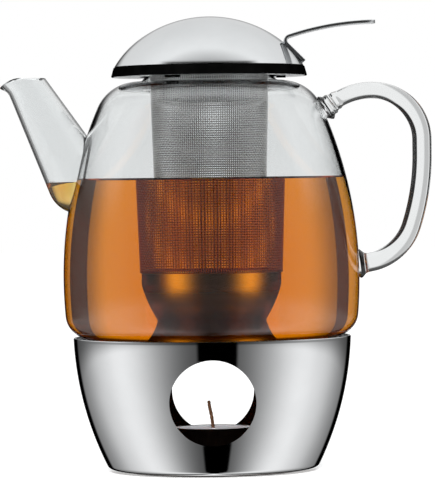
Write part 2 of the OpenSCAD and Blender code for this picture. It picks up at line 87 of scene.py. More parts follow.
MESH_FOOT_R, MESH_FOOT_Z = 25.05, 95.2
MESH_TOP_R, MESH_TOP_Z = 27.55, 176.7
WEAVE_LOW, WEAVE_HIGH = 93.9, 189.3
WIRE_PITCH, WIRE_D, UPRIGHT_WIRES = 1.08, 0.37, 160
COLLAR_R, COLLAR_T = 27.27, 0.6
FLANGE_R, FLANGE_LOW, FLANGE_TOP = 31.3, 189.7, 190.5
BOWL_RIM_R, BOWL_BAND_Z, BOWL_LOW, BOWL_TOP, BOWL_T = 24.77, 88.7, 66.7, 95.2, 0.6
BOWL_CORNER, BOWL_CORNER_R, BOWL_SIDE_R = (12.4, 71.7), 5.0, 60.0

LINER_Z, LINER_TOP, SEAL_TOP = 186.39, 192.6, 191.8
BAND_TOP = LINER_Z + 4.6
DOME_R, DOME_H = 44.9, 23.7
DOME_SPHERE_R = (DOME_R ** 2 + DOME_H ** 2) / (2 * DOME_H)
CROWN_R, DOME_SIDE_R = DOME_SPHERE_R + 1.9, DOME_SPHERE_R - 10.1
SHEET_T = 0.8
LINER_CUP_R, LINER_STEP_R, LINER_R = 32.83, 33.6, 45.35
BAND_IN_R, BAND_LOW_R, BAND_HIGH_R = 43.1, 46.4, 45.1
LEVER_T, LEVER_W, LEVER_TIP_R = 1.6, 14.0, 4.0
LEVER_ROUTE = ((0, 11.4), (2.3, -117), (132, -18))


# ---------------------------------------------------------------- plane geometry, points are (r, z)
def turn(c, r, a):
    """The point at radius r and angle a (degrees) round a centre."""
    return (c[0] + r * math.cos(math.radians(a)), c[1] + r * math.sin(math.radians(a)))


def arc(c, r, a0, a1, n):
    """n + 1 points along an arc, from angle a0 to angle a1."""
    return [turn(c, r, a0 + (a1 - a0) * i / n) for i in range(n + 1)]


def angle_of(c, p):
    """The angle (degrees) at which a point lies round a centre."""
    return math.degrees(math.atan2(p[1] - c[1], p[0] - c[0]))


def meet(a, da, b, db):
    """Centre that lies da from a and db from b, on the left of the way from a to b."""
    d = math.dist(a, b)
    ux, uz = (b[0] - a[0]) / d, (b[1] - a[1]) / d
    s = (da * da - db * db + d * d) / (2 * d)
    h = math.sqrt(da * da - s * s)
    return (a[0] + s * ux - h * uz, a[1] + s * uz + h * ux)


def rounded(points, n=5):
    """A closed outline whose points may carry a third value, the radius of the round at that corner."""
    out = []
    for i, p in enumerate(points):
        r = p[2] if len(p) > 2 else 0
        if not r:
            out.append((p[0], p[1]))
            continue
        here = Vector(p[:2])
        a = (Vector(points[i - 1][:2]) - here)
        b = (Vector(points[(i + 1) % len(points)][:2]) - here)
        la, lb = a.length, b.length
        a.normalize()
        b.normalize()
        half = a.angle(b) / 2
        cut = min(r / math.tan(half), 0.49 * la, 0.49 * lb)
        r = cut * math.tan(half)
        c = here + (a + b).normalized() * (r / math.sin(half))
        s, e = here + a * cut - c, here + b * cut - c
        a0 = math.atan2(s.y, s.x)
        swing = (math.atan2(e.y, e.x) - a0 + math.pi) % (2 * math.pi) - math.pi
        for k in range(n + 1):
            t = a0 + swing * k / n
            out.append((c.x + r * math.cos(t), c.y + r * math.sin(t)))
    return out


# ---------------------------------------------------------------- mesh helpers
def make(name, verts, faces, sharp=32.0):
    """A mesh object from points in mm, smooth, with edges sharper than the angle kept crisp."""
    me = bpy.data.meshes.new(name)
    me.from_pydata([(x * MM, y * MM, z * MM) for x, y, z in verts], [], faces)
    bm = bmesh.new()
    bm.from_mesh(me)
    bmesh.ops.recalc_face_normals(bm, faces=bm.faces)
    bm.to_mesh(me)
    bm.free()
    ob = bpy.data.objects.new(name, me)
    bpy.context.scene.collection.objects.link(ob)
    smooth(ob, sharp)
    return ob


def smooth(ob, sharp=32.0):
    """Smooth shading, with edges sharper than the angle kept crisp."""
    me = ob.data
    me.polygons.foreach_set("use_smooth", [True] * len(me.polygons))
    me.set_sharp_from_angle(angle=math.radians(sharp))
    me.update()


def lathe(name, outline, seg=192, sharp=32.0):
    """A body of revolution from a closed outline. Points on the axis become poles."""
    verts, rows = [], []
    for r, z in outline:
        if r < 1e-6:
            rows.append([len(verts)] * seg)
            verts.append((0.0, 0.0, z))
        else:
            rows.append(list(range(len(verts), len(verts) + seg)))
            verts += [(r * math.cos(2 * math.pi * j / seg), r * math.sin(2 * math.pi * j / seg), z)
                      for j in range(seg)]
    faces = []
    for i, row in enumerate(rows):
        nxt = rows[(i + 1) % len(rows)]
        if row[0] == row[-1] and nxt[0] == nxt[-1]:
            continue
        for j in range(seg):
            k = (j + 1) % seg
            f = [row[j], row[k], nxt[k], nxt[j]]
            faces.append(tuple(dict.fromkeys(f)))
    return make(name, verts, faces, sharp)


def sweep(name, stations, n=32, sharp=40.0):
    """A round bar in the X-Z plane. Stations are (x, z, heading in degrees, radius)."""
    verts, faces = [], []
    for x, z, h, r in stations:
        sx, sz = -math.sin(math.radians(h)), math.cos(math.radians(h))
        for j in range(n):
            a = 2 * math.pi * j / n
            verts.append((x + r * math.cos(a) * sx, r * math.sin(a), z + r * math.cos(a) * sz))
    m = len(stations)
    for i in range(m - 1):
        for j in range(n):
            k = (j + 1) % n
            faces.append((i * n + j, i * n + k, (i + 1) * n + k, (i + 1) * n + j))
    faces.append(tuple(range(n)))
    faces.append(tuple((m - 1) * n + j for j in range(n)))
    return make(name, verts, faces, sharp)


def boolean(ob, tools, operation, sharp=32.0):
    """Joins or cuts a mesh with helper meshes, which are then removed."""
    for t in tools:
        mod = ob.modifiers.new("cut", "BOOLEAN")
        mod.operation, mod.solver, mod.object = operation, "EXACT", t
    dg = bpy.context.evaluated_depsgraph_get()
    new = bpy.data.meshes.new_from_object(ob.evaluated_get(dg))
    ob.modifiers.clear()
    ob.data = new
    for t in tools:
        bpy.data.objects.remove(t)
    smooth(ob, sharp)
    return ob


def tilted(ob, origin, lean):
    """Turns a lathe made along -Z about Y so that it leans, and puts its origin at a point (mm)."""
    m = Matrix.Translation(Vector(origin) * MM) @ Matrix.Rotation(math.radians(-lean), 4, "Y")
    ob.data.transform(m)
    return ob


def walk(start, steps, close=1.5):
    """Stations (x, z, heading) along straights (0, length) and bends (radius, degrees)."""
    x, z, heading = start
    out = [start]
    for radius, amount in steps:
        if radius == 0:
            n = max(1, int(amount / 0.6))
            for _ in range(n):
                x += amount / n * math.cos(math.radians(heading))
                z += amount / n * math.sin(math.radians(heading))
                out.append((x, z, heading))
            continue
        n = max(2, int(abs(amount) / close))
        side = 1 if amount > 0 else -1
        centre = turn((x, z), radius, heading + 90 * side)
        for i in range(1, n + 1):
            now = heading + amount * i / n
            out.append((*turn(centre, radius, now - 90 * side), now))
        x, z, heading = out[-1]
    return out


# ---------------------------------------------------------------- material helpers
def material(name):
    """A new material, its node tree and its main shader."""
    m = bpy.data.materials.new(name)
    m.use_nodes = True
    nt = m.node_tree
    return m, nt, nt.nodes["Principled BSDF"]


def node(nt, kind, **settings):
    """A new node with its inputs or its own settings set by name."""
    n = nt.nodes.new(kind)
    for key, value in settings.items():
        if key in n.inputs:
            n.inputs[key].default_value = value
        else:
            setattr(n, key, value)
    return n


def noise(nt, scale, stretch=(1, 1, 1), detail=4.0, rough=0.5):
    """Noise over the piece's own position, in features per metre."""
    where = node(nt, "ShaderNodeTexCoord")
    squeeze = node(nt, "ShaderNodeMapping")
    squeeze.inputs["Scale"].default_value = stretch
    nt.links.new(where.outputs["Object"], squeeze.inputs["Vector"])
    n = node(nt, "ShaderNodeTexNoise", Scale=scale, Detail=detail, Roughness=rough)
    nt.links.new(squeeze.outputs["Vector"], n.inputs["Vector"])
    return n.outputs["Fac"]


def along(nt, axis, low, high):
    """0 below the low place on an axis and 1 above the high one (mm), smooth in between."""
    where = node(nt, "ShaderNodeTexCoord")
    parts = node(nt, "ShaderNodeSeparateXYZ")
    nt.links.new(where.outputs["Object"], parts.inputs["Vector"])
    m = node(nt, "ShaderNodeMapRange", interpolation_type="SMOOTHSTEP")
    m.inputs["From Min"].default_value = low * MM
    m.inputs["From Max"].default_value = high * MM
    nt.links.new(parts.outputs[axis], m.inputs["Value"])
    return m.outputs["Result"]


def by_height(nt, low, high):
    """The same along the height."""
    return along(nt, "Z", low, high)


def ramp(nt, source, stops):
    """A colour that follows a value through stops of (place, colour)."""
    r = node(nt, "ShaderNodeValToRGB")
    while len(r.color_ramp.elements) < len(stops):
        r.color_ramp.elements.new(0.5)
    for e, (pos, col) in zip(r.color_ramp.elements, stops):
        e.position = pos
        e.color = (*col, 1) if len(col) == 3 else col
    nt.links.new(source, r.inputs["Fac"])
    return r.outputs["Color"]


def spread(nt, source, low, high):
    """Turns a value from 0 to 1 into one from low to high."""
    m = node(nt, "ShaderNodeMapRange")
    m.inputs["To Min"].default_value = low
    m.inputs["To Max"].default_value = high
    nt.links.new(source, m.inputs["Value"])
    return m.outputs["Result"]


def bump(nt, bsdf, source, strength, distance):
    """Fine relief on a material's surface, from a value."""
    b = node(nt, "ShaderNodeBump", Strength=strength, Distance=distance)
    nt.links.new(source, b.inputs["Height"])
    nt.links.new(b.outputs["Normal"], bsdf.inputs["Normal"])


def metal(name, dark, light, rough, grain=(1, 1, 1), scale=900.0, relief=0.02):
    """Steel or tin: a slight mottle in colour and polish, and fine grain along one direction."""
    m, nt, b = material(name)
    b.inputs["Metallic"].default_value = 1.0
    mottle = noise(nt, 60.0, detail=3.0)
    nt.links.new(ramp(nt, mottle, [(0.3, dark), (0.7, light)]), b.inputs["Base Color"])
    fine = noise(nt, scale, grain, detail=5.0, rough=0.6)
    nt.links.new(spread(nt, fine, *rough), b.inputs["Roughness"])
    if relief:
        bump(nt, b, fine, relief, 0.00002)
    return m


def clear(name, tint, ior, rough=0.0):
    """Glass or liquid: light passes through, with a very slight ripple in its tint."""
    m, nt, b = material(name)
    b.inputs["Transmission Weight"].default_value = 1.0
    b.inputs["IOR"].default_value = ior
    ripple = noise(nt, 35.0, detail=1.0)
    low = tuple(c * 0.995 for c in tint)
    nt.links.new(ramp(nt, ripple, [(0.35, low), (0.65, tint)]), b.inputs["Base Color"])
    b.inputs["Roughness"].default_value = rough
    return m, nt, b


# ---------------------------------------------------------------- materials
CHROME = metal("polished steel", (0.80, 0.81, 0.82), (0.84, 0.85, 0.86), (0.035, 0.06), relief=0.0)
SATIN = metal("satin steel", (0.76, 0.78, 0.79), (0.80, 0.82, 0.83), (0.08, 0.11), (1, 1, 6), 700.0)
BRUSHED = metal("brushed steel", (0.76, 0.78, 0.79), (0.80, 0.82, 0.83), (0.32, 0.42), (6, 1, 6), 700.0)
SHEET = metal("rolled steel", (0.60, 0.61, 0.62), (0.66, 0.67, 0.68), (0.18, 0.28), (1, 8, 1), 500.0)
# painted shade: the steel inside the warmer is a dark reddish brown, standing in for the shade of its hollow
# and a painted reddish glow from the tea
INNER_PAINTED_SHADE = metal("steel with painted inner shade", (0.050, 0.024, 0.014), (0.11, 0.055, 0.034), (0.28, 0.42), scale=500.0)


def weave_shade_mask(nt):
    """Mask of painted shade on the weave: 0 where a wire dips under its neighbour, 1 where it rides over it,
    from its distance to the axis.
    """
    where = node(nt, "ShaderNodeTexCoord")
    parts = node(nt, "ShaderNodeSeparateXYZ")
    nt.links.new(where.outputs["Object"], parts.inputs["Vector"])
    flat = node(nt, "ShaderNodeCombineXYZ")
    nt.links.new(parts.outputs["X"], flat.inputs["X"])
    nt.links.new(parts.outputs["Y"], flat.inputs["Y"])
    far = node(nt, "ShaderNodeVectorMath", operation="LENGTH")
    nt.links.new(flat.outputs["Vector"], far.inputs[0])
    middle = node(nt, "ShaderNodeMapRange")
    for key, value in (("From Min", MESH_FOOT_Z), ("From Max", MESH_TOP_Z),
                       ("To Min", MESH_FOOT_R), ("To Max", MESH_TOP_R)):
        middle.inputs[key].default_value = value * MM
    nt.links.new(parts.outputs["Z"], middle.inputs["Value"])
    proud = node(nt, "ShaderNodeMath", operation="SUBTRACT")
    nt.links.new(far.outputs["Value"], proud.inputs[0])
    nt.links.new(middle.outputs["Result"], proud.inputs[1])
    share = node(nt, "ShaderNodeMapRange", interpolation_type="SMOOTHSTEP")
    share.inputs["From Min"].default_value = -0.18 * MM
    share.inputs["From Max"].default_value = 0.20 * MM
    nt.links.new(proud.outputs["Value"], share.inputs["Value"])
    return share.outputs["Result"]


# the wires carry a stain of tea up to the fill, and get painted shade where they dip under each other
WIRE, nt, b = material("drawn wire")
b.inputs["Metallic"].default_value = 1.0
clean = ramp(nt, noise(nt, 150.0, detail=7.0, rough=0.8),
             [(0.38, (0.84, 0.84, 0.84)), (0.60, (1.0, 1.0, 0.99))])
stained = ramp(nt, noise(nt, 1200.0), [(0.3, (0.92, 0.20, 0.09)), (0.7, (1.0, 0.34, 0.15))])
blend = node(nt, "ShaderNodeMix", data_type="RGBA")
nt.links.new(by_height(nt, TEA_Z - 1.0, TEA_Z), blend.inputs[0])
nt.links.new(stained, blend.inputs[6])
nt.links.new(clean, blend.inputs[7])
# painted shade: the parts of the wires that dip under are mixed towards a dark brown
weave_painted_shade = node(nt, "ShaderNodeMix", data_type="RGBA")
weave_painted_shade.inputs[6].default_value = (0.12, 0.07, 0.06, 1)
nt.links.new(weave_shade_mask(nt), weave_painted_shade.inputs[0])
nt.links.new(blend.outputs[2], weave_painted_shade.inputs[7])
nt.links.new(weave_painted_shade.outputs[2], b.inputs["Base Color"])
nt.links.new(spread(nt, noise(nt, 900.0), 0.26, 0.40), b.inputs["Roughness"])

# the bowl is polished at its rim and rougher towards its underside, where its colour darkens to a painted
# shade of the dark warmer below it
BOWL, nt, b = material("spun bowl steel")
b.inputs["Metallic"].default_value = 1.0
spun = ramp(nt, noise(nt, 500.0, (1, 1, 10)), [(0.3, (0.90, 0.72, 0.56)), (0.7, (0.96, 0.80, 0.64))])
# painted shade: a dark reddish brown for the bowl's underside
underside_painted_shade = ramp(nt, noise(nt, 300.0), [(0.3, (0.36, 0.12, 0.05)), (0.7, (0.48, 0.17, 0.08))])
blend = node(nt, "ShaderNodeMix", data_type="RGBA")
nt.links.new(by_height(nt, 72.0, 86.0), blend.inputs[0])
nt.links.new(underside_painted_shade, blend.inputs[6])
nt.links.new(spun, blend.inputs[7])
nt.links.new(blend.outputs[2], b.inputs["Base Color"])
nt.links.new(spread(nt, by_height(nt, 76.0, 93.0), 0.46, 0.14), b.inputs["Roughness"])

# painted shade: the tealight's aluminium is a dark warm brown, for the shade inside the warmer and the
# tea-tinted light that reaches it
TIN_PAINTED_SHADE = metal("thin aluminium with painted shade", (0.34, 0.24, 0.20), (0.46, 0.36, 0.32), (0.22, 0.40), (1, 1, 10), 600.0, 0.2)

GLASS_MAT, _, _ = clear("borosilicate glass", (0.885, 0.900, 0.902), 1.47)

RUBBER, nt, b = material("black silicone")
soot = ramp(nt, noise(nt, 220.0), [(0.3, (0.0006, 0.0006, 0.0006)), (0.7, (0.0014, 0.0014, 0.0014))])
nt.links.new(soot, b.inputs["Base Color"])
nt.links.new(spread(nt, noise(nt, 900.0), 0.42, 0.6), b.inputs["Roughness"])
bump(nt, b, noise(nt, 2500.0), 0.08, 0.00004)
b.inputs["Specular IOR Level"].default_value = 0.0

WAX, nt, b = material("candle wax")
pale = ramp(nt, noise(nt, 240.0, detail=6.0), [(0.3, (0.62, 0.58, 0.62)), (0.7, (0.80, 0.77, 0.80))])
nt.links.new(pale, b.inputs["Base Color"])
b.inputs["Subsurface Weight"].default_value = 0.6
b.inputs["Subsurface Radius"].default_value = (0.004, 0.003, 0.003)
b.inputs["Subsurface Scale"].default_value = 0.6
nt.links.new(spread(nt, noise(nt, 400.0), 0.3, 0.5), b.inputs["Roughness"])
bump(nt, b, noise(nt, 160.0, detail=3.0), 0.35, 0.0006)

WICK, nt, b = material("cotton wick")
cotton = ramp(nt, noise(nt, 1500.0, (1, 1, 0.35)), [(0.3, (0.035, 0.015, 0.008)), (0.7, (0.11, 0.055, 0.03))])
nt.links.new(cotton, b.inputs["Base Color"])
b.inputs["Roughness"].default_value = 0.9
bump(nt, b, noise(nt, 2200.0, (1, 1, 0.4)), 0.7, 0.0003)

# the tea in the spout is thin, and is tinted so that it still reads golden
TEA, nt, b = clear("black tea", (1.0, 1.0, 1.0), 1.333)
gold = ramp(nt, noise(nt, 190.0, (1, 1, 0.5), 2.0), [(0.3, (0.78, 0.48, 0.14)), (0.7, (0.98, 0.78, 0.40))])
blend = node(nt, "ShaderNodeMix", data_type="RGBA")
nt.links.new(along(nt, "X", -67.0, -62.0), blend.inputs[0])
nt.links.new(gold, blend.inputs[6])
nt.links.new(b.inputs["Base Color"].links[0].from_socket, blend.inputs[7])
nt.links.new(blend.outputs[2], b.inputs["Base Color"])
absorb = node(nt, "ShaderNodeVolumeAbsorption", Density=60.0)
absorb.inputs["Color"].default_value = (0.99, 0.81, 0.15, 1)
nt.links.new(absorb.outputs["Volume"], nt.nodes["Material Output"].inputs["Volume"])


def piece(ob, mat, body, slot, *nodes):
    """Finishes a piece: its material, the body it rides on and the CAD nodes it stands for. The slot is not
    used.
    """
    ob.data.materials.clear()
    ob.data.materials.append(mat)
    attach(ob, body)
    if nodes:
        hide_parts(*nodes)
    return ob


# ---------------------------------------------------------------- warmer
shell_a0 = angle_of(SHELL_SIDE, SHELL_CORNER)
shell_a1 = angle_of(SHELL_SIDE, (65.6, WARMER_H))
inner_r = SHELL_SIDE_R - SHELL_T
outer = (arc(SHELL_CORNER, SHELL_CORNER_R, -90, shell_a0, 16)
         + arc(SHELL_SIDE, SHELL_SIDE_R, shell_a0, shell_a1, 60)[1:])
inner = (arc(SHELL_SIDE, inner_r, shell_a1, shell_a0, 60)
         + arc(SHELL_CORNER, SHELL_CORNER_R - SHELL_T, shell_a0, -90, 12)[1:])
rim_mid = turn(SHELL_SIDE, SHELL_SIDE_R - SHELL_T / 2, shell_a1)
outline = outer[:-1] + arc(rim_mid, SHELL_T / 2, shell_a1, shell_a1 + 180, 10) + inner[1:]
outline += [(LIP_R, 2.1), (LIP_R, 0.9)]
shell = lathe("warmer_shell_polished", outline, seg=256)


def window_cutter():
    """A round bar along Y that cuts the front and the back window."""
    verts, faces, n = [], [], 160
    for y in (-90.0, 90.0):
        for j in range(n):
            a = 2 * math.pi * j / n
            verts.append((WINDOW_R * math.cos(a), y, WINDOW_Z + WINDOW_R * math.sin(a)))
    for j in range(n):
        k = (j + 1) % n
        faces.append((j, k, n + k, n + j))
    faces += [tuple(range(n)), tuple(range(n, 2 * n))]
    return make("cutter", verts, faces)


boolean(shell, [window_cutter()], "DIFFERENCE")
piece(shell, CHROME, "warmer", "mirror_steel", "warmer_shell")
shell.data.materials.append(INNER_PAINTED_SHADE)
# the shell's inner faces take the second material, the painted shade of the warmer's hollow
for face in shell.data.polygons:
    c = face.center / MM
    r = math.hypot(c.x, c.y)
    if math.dist((r, c.z), SHELL_SIDE) < SHELL_SIDE_R - 0.9 and c.z < WARMER_H - 1.5:
        face.material_index = 1

# ---------------------------------------------------------------- glass pot
def pot_side(w, foot_z, top):
    """Pot outline from the edge of its base up to the neck, w inside the outer surface."""
    low = turn(BASE, BASE_R - w, BASE_SLOPE - 90)
    foot = (low[0] - (low[1] - foot_z) / math.tan(math.radians(BASE_SLOPE)), foot_z)
    a_base, a_top = angle_of(BELLY, BASE), angle_of(BELLY, SHOULDER)
    a_neck = angle_of(SHOULDER, FILLET)
    return ([foot] + arc(BASE, BASE_R - w, BASE_SLOPE - 90, a_base, 16)
            + arc(BELLY, BELLY_R - w, a_base, a_top, 60)[1:]
            + arc(SHOULDER, SHOULDER_R - w, a_top, a_neck, 20)[1:]
            + arc(FILLET, FILLET_R + w, a_neck - 180, -180, 10)[1:]
            + [(NECK_R - w, top)])


def spout_solid(name, w, top, seg=144):
    """The spout's solid of taper and round root, w inside its outer surface, along its own leaning axis."""
    length = SPOUT_DROP / math.cos(math.radians(SPOUT_LEAN))
    tan = math.tan(math.radians(SPOUT_TAPER))
    root_r = (SPOUT_MOUTH_R + length * tan) * math.cos(math.radians(SPOUT_TAPER))
    join = length - root_r * math.sin(math.radians(SPOUT_TAPER))
    points = [(0, top)]
    points += [(SPOUT_MOUTH_R - w + s * tan, -s) for s in [-top + (join + top) * i / 60 for i in range(60)]]
    points += arc((0, -length), root_r - w, SPOUT_TAPER, -90, 16)[:-1]
    points += [(0, -length - root_r + w)]
    ob = lathe(name, points, seg)
    return tilted(ob, (SPOUT_MOUTH[0], 0, SPOUT_MOUTH[1]), SPOUT_LEAN)


def slab(name, z0, z1, size=260.0):
    """A square block between two heights, used as a cutter."""
    h = size / 2
    verts = [(x, y, z) for z in (z0, z1) for x, y in ((-h, -h), (h, -h), (h, h), (-h, h))]
    faces = [(0, 1, 2, 3), (4, 5, 6, 7), (0, 1, 5, 4), (1, 2, 6, 5), (2, 3, 7, 6), (3, 0, 4, 7)]
    return make(name, verts, faces)


body_out = lathe("glass_pot", [(0, POT_Z + PUSH)]
                 + arc((PUSH_R - 2, POT_Z + PUSH - 6), 6, 90, 60, 4)
                 + arc((PUSH_R + 5, POT_Z + 3.2), 3.2, -130, -90, 5)
                 + pot_side(0, POT_Z, NECK_TOP - 0.9)
                 + arc((NECK_R - 0.9, NECK_TOP - 0.9), 0.9, 0, 90, 4) + [(0, NECK_TOP)], seg=224)


def ease(x, low, high):
    """0 below low, 1 above high, smooth in between."""
    t = min(max((x - low) / (high - low), 0.0), 1.0)
    return t * t * (3 - 2 * t)


def ring(x, centre, width):
    """The bulge of a bead of melted glass, 1 at its centre."""
    return math.exp(-((x - centre) / width) ** 2)


# the handle, with the beads and flares of the melted joints at its two ends
handle_z = POT_Z + HANDLE_UP
belly_x = BELLY[0] + math.sqrt(BELLY_R ** 2 - (handle_z - BELLY[1]) ** 2)
start = (belly_x - HANDLE_ROOT, handle_z - HANDLE_ROOT * math.sin(math.radians(HANDLE_LEAN)), HANDLE_LEAN)
route = walk(start, HANDLE_ROUTE)
stations = []
lengths = [0.0]
for p, q in zip(route, route[1:]):
    lengths.append(lengths[-1] + math.dist(p[:2], q[:2]))
for (x, z, h), s in zip(route, lengths):
    left = lengths[-1] - s
    r = HANDLE_ROD_R - HANDLE_THINNING * ease(s / lengths[-1], 0.62, 0.78)
    if s < left:
        r += 2.4 * ring(s, 3.4, 1.9)
    else:
        r += 2.6 * ring(left, 5.2, 1.8) + 1.1 * ring(left, 8.4, 1.1) + 0.6 * ring(left, 11.2, 1.0)
    stations.append((x, z, h, r))
handle = sweep("handle", stations, n=56)
spout_out = spout_solid("spout_out", 0.0, 22.0)
boolean(spout_out, [slab("above", SPOUT_MOUTH[1], SPOUT_MOUTH[1] + 60)], "DIFFERENCE")
boolean(body_out, [spout_out, handle], "UNION")

body_in = lathe("body_in", [(0, FLOOR_TOP)] + pot_side(GLASS, FLOOR_TOP, NECK_TOP + 6)
                + [(0, NECK_TOP + 6)], seg=224)
spout_in = spout_solid("spout_in", SPOUT_WALL, 22.0)
boolean(body_in, [spout_in], "UNION")
boolean(body_out, [body_in], "DIFFERENCE")
# the mouth of the spout is drawn out and down into a pouring lip
for v in body_out.data.vertices:
    x, z = v.co.x / MM, v.co.z / MM
    near = ease(z, 176.5, SPOUT_MOUTH[1])
    out = max(0.0, (-89.0 - x) / 8.5)
    v.co.z -= LIP_FALL * out * out * near * MM
    v.co.x -= LIP_REACH * out * near * near * MM
smooth(body_out)
piece(body_out, GLASS_MAT, "pot", "clear_glass", "glass_body", "glass_spout", "glass_handle")

# ---------------------------------------------------------------- tea
tea_floor = FLOOR_TOP - TEA_OVERLAP
tea = lathe("tea", [(0, tea_floor)] + pot_side(GLASS - TEA_OVERLAP, tea_floor, NECK_TOP)
            + [(0, NECK_TOP)], seg=224)
boolean(tea, [spout_solid("tea_spout", SPOUT_WALL - TEA_OVERLAP, 22.0)], "UNION")
wall_r = BELLY[0] + math.sqrt((BELLY_R - GLASS) ** 2 - (TEA_Z - BELLY[1]) ** 2)
# the tea climbs a little where it meets the glass
rise = [(wall_r - 3.2 + 3.3 * t, TEA_Z + 1.5 * t ** 2.6) for t in [i / 10 for i in range(11)]]
beyond = [(wall_r + 0.8, TEA_Z), (150, TEA_Z), (150, TEA_Z + 90), (0, TEA_Z + 90)]
air = lathe("air", [(0, TEA_Z)] + rise + beyond, seg=224)
boolean(tea, [air], "DIFFERENCE")
piece(tea, TEA, "pot", "clear_glass")

# ---------------------------------------------------------------- strainer
def mesh_r(z):
    """Middle radius of the wire mesh at a height."""
    t = min(max((MESH_TOP_Z - z) / (MESH_TOP_Z - MESH_FOOT_Z), 0), 1)
    return MESH_TOP_R + (MESH_FOOT_R - MESH_TOP_R) * t


def woven(name, z0, z1, pitch, wire, seg):
    """A plain weave round the strainer: upright wires and rings that pass over and under each other."""
    verts, faces = [], []
    rings = int((z1 - z0) / pitch)
    r_w, amp = wire / 2, wire * 0.52
    for j in range(seg):
        a = 2 * math.pi * j / seg
        ca, sa = math.cos(a), math.sin(a)
        base = len(verts)
        for i in range(rings + 1):
            z = z0 + (z1 - z0) * i / rings
            r = mesh_r(z) + (amp if (i + j) % 2 else -amp)
            for dr, dt in ((r_w, 0), (0, r_w), (-r_w, 0), (0, -r_w)):
                verts.append(((r + dr) * ca - dt * sa, (r + dr) * sa + dt * ca, z))
        for i in range(rings):
            for k in range(4):
                p, q = base + 4 * i + k, base + 4 * i + (k + 1) % 4
                faces.append((p, q, q + 4, p + 4))
        faces.append(tuple(base + k for k in range(4)))
        faces.append(tuple(base + 4 * rings + k for k in range(4)))
    for i in range(rings + 1):
        z = z0 + (z1 - z0) * i / rings
        base = len(verts)
        for j in range(seg):
            a = 2 * math.pi * j / seg
            ca, sa = math.cos(a), math.sin(a)
            r = mesh_r(z) - (amp if (i + j) % 2 else -amp)
            for dr, dz in ((r_w, 0), (0, r_w), (-r_w, 0), (0, -r_w)):
                verts.append(((r + dr) * ca, (r + dr) * sa, z + dz))
        for j in range(seg):
            nj = (j + 1) % seg
            for k in range(4):
                p, q = base + 4 * j, base + 4 * nj
                faces.append((p + k, p + (k + 1) % 4, q + (k + 1) % 4, q + k))
    return make(name, verts, faces, 180.0)


weave = woven("strainer_weave", WEAVE_LOW, WEAVE_HIGH, WIRE_PITCH, WIRE_D, UPRIGHT_WIRES)
piece(weave, WIRE, "strainer", "wire_mesh", "strainer_mesh")

collar = lathe("strainer_collar_formed", rounded([
    (COLLAR_R - COLLAR_T, MESH_TOP_Z, 0.2), (COLLAR_R, MESH_TOP_Z, 0.2), (COLLAR_R, FLANGE_LOW),
    (FLANGE_R, FLANGE_LOW, 0.35), (FLANGE_R, FLANGE_TOP, 0.35), (COLLAR_R - COLLAR_T, FLANGE_TOP, 0.5)]))
piece(collar, SATIN, "strainer", "satin_steel", "strainer_collar")

bowl_side = meet(BOWL_CORNER, BOWL_SIDE_R - BOWL_CORNER_R, (BOWL_RIM_R, BOWL_BAND_Z), BOWL_SIDE_R)
a_low, a_top = angle_of(bowl_side, BOWL_CORNER), angle_of(bowl_side, (BOWL_RIM_R, BOWL_BAND_Z))
a_in = -math.degrees(math.acos((BOWL_RIM_R - BOWL_T - bowl_side[0]) / (BOWL_SIDE_R - BOWL_T)))
bowl_edge = [(BOWL_RIM_R, BOWL_TOP - 0.3), (BOWL_RIM_R - BOWL_T / 2, BOWL_TOP),
             (BOWL_RIM_R - BOWL_T, BOWL_TOP - 0.3)]
bowl = lathe("strainer_bowl_spun", [(0, BOWL_LOW)] + arc(BOWL_CORNER, BOWL_CORNER_R, -90, a_low, 12)
             + arc(bowl_side, BOWL_SIDE_R, a_low, a_top, 16)[1:] + bowl_edge
             + arc(bowl_side, BOWL_SIDE_R - BOWL_T, a_in, a_low, 16)
             + arc(BOWL_CORNER, BOWL_CORNER_R - BOWL_T, a_low, -90, 12)[1:] + [(0, BOWL_LOW + BOWL_T)])
piece(bowl, BOWL, "strainer", "mirror_steel", "strainer_bowl")

# ---------------------------------------------------------------- lid
crown = (0.0, BAND_TOP + DOME_H - CROWN_R)
side = meet(crown, CROWN_R - DOME_SIDE_R, (DOME_R, BAND_TOP), DOME_SIDE_R)
side_top = angle_of(crown, side)


def dome_line(w, n):
    """The dome's line from its edge up to the axis, w inside the outer surface."""
    low = math.degrees(math.asin((BAND_TOP - side[1]) / (DOME_SIDE_R - w)))
    return (arc(side, DOME_SIDE_R - w, low + (0.5 if w == 0 else 0), side_top, 2 * n)
            + arc(crown, CROWN_R - w, side_top, 90, n)[1:-1] + [(0, crown[1] + CROWN_R - w)])


dome = lathe("lid_dome_formed", dome_line(0, 24) + dome_line(SHEET_T, 14)[::-1]
             + [(DOME_R - 0.35, BAND_TOP)], seg=256)
piece(dome, SATIN, "lid", "satin_steel", "lid_dome")

liner = lathe("lid_liner_formed", rounded([
    (LINER_CUP_R, LINER_Z), (LINER_R, LINER_Z, 0.2), (LINER_R, LINER_Z + SHEET_T, 0.2),
    (LINER_STEP_R, LINER_Z + SHEET_T, 0.5), (LINER_STEP_R, LINER_TOP, 1.2), (0, LINER_TOP), (0, SEAL_TOP),
    (LINER_CUP_R, SEAL_TOP, 0.4)]))
piece(liner, SHEET, "lid", "mirror_steel", "lid_liner")

band = lathe("lid_band_moulded", rounded([
    (BAND_IN_R, LINER_Z + SHEET_T), (LINER_R + 0.03, LINER_Z + SHEET_T), (LINER_R + 0.03, LINER_Z, 0.1),
    (BAND_LOW_R, LINER_Z, 0.35), (BAND_HIGH_R, BAND_TOP, 0.5), (BAND_IN_R, BAND_TOP)]))
piece(band, RUBBER, "lid", "black_silicone", "lid_band")


